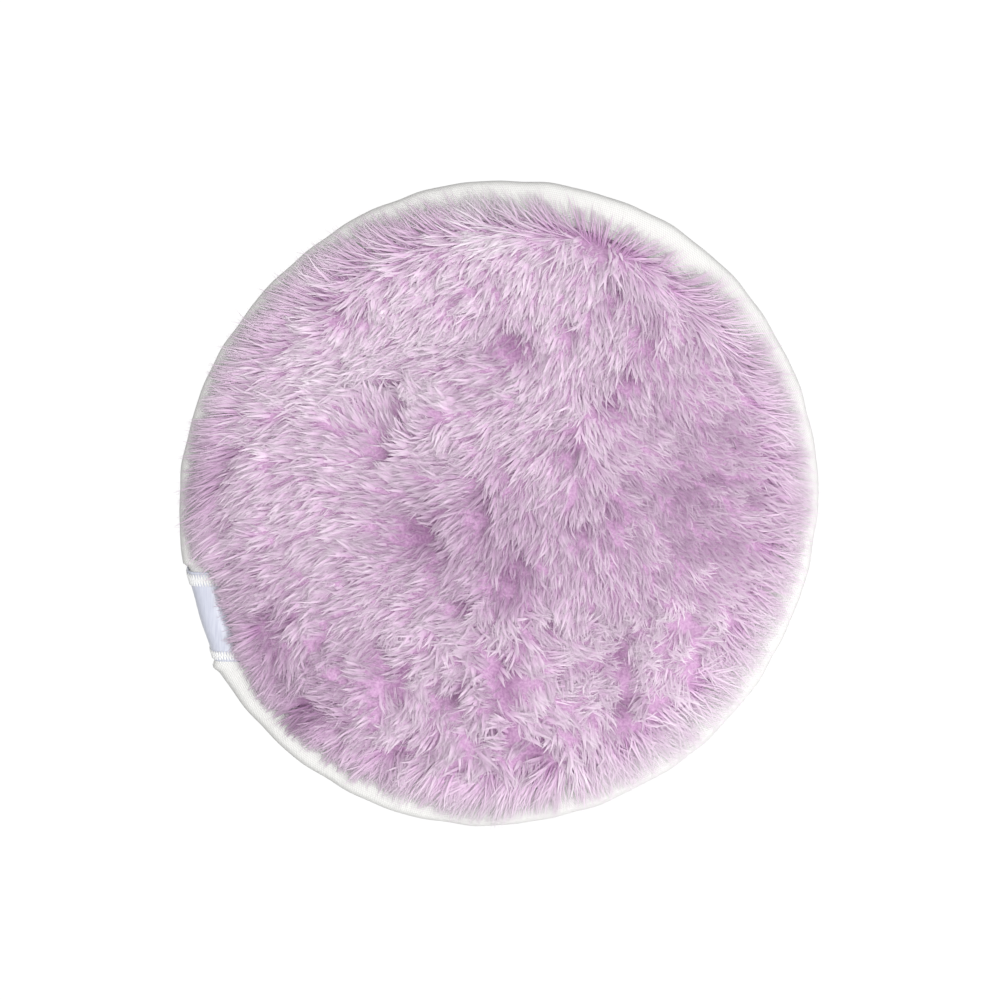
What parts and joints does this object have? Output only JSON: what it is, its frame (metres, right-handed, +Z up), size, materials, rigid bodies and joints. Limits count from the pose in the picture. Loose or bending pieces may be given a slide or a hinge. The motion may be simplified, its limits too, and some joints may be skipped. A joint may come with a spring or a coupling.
{
  "type": "makeup remover sponge",
  "caption": "Round two-faced plush make-up remover pad with a foam core, a ribbed white edge binding and a bare satin side label.",
  "frame": {"origin": "on the resting plane, under the middle of the pad", "axes": "+Z up out of the front face; the side label faces -X, a little towards -Y"},
  "size_m": [0.1194, 0.1206, 0.0177],
  "materials": {
    "plush": "matte",
    "foam": "matte",
    "tape": "matte",
    "satin": "satin",
    "thread": "matte"
  },
  "bodies": {
    "root": {"sponge_core": "foam", "front_plush": "plush", "rear_plush": "plush", "edge_binding": "tape", "front_seam_thread": "thread", "rear_seam_thread": "thread", "side_label": "satin", "label_stitch_upper": "thread", "label_stitch_lower": "thread"}
  },
  "joints": []
}
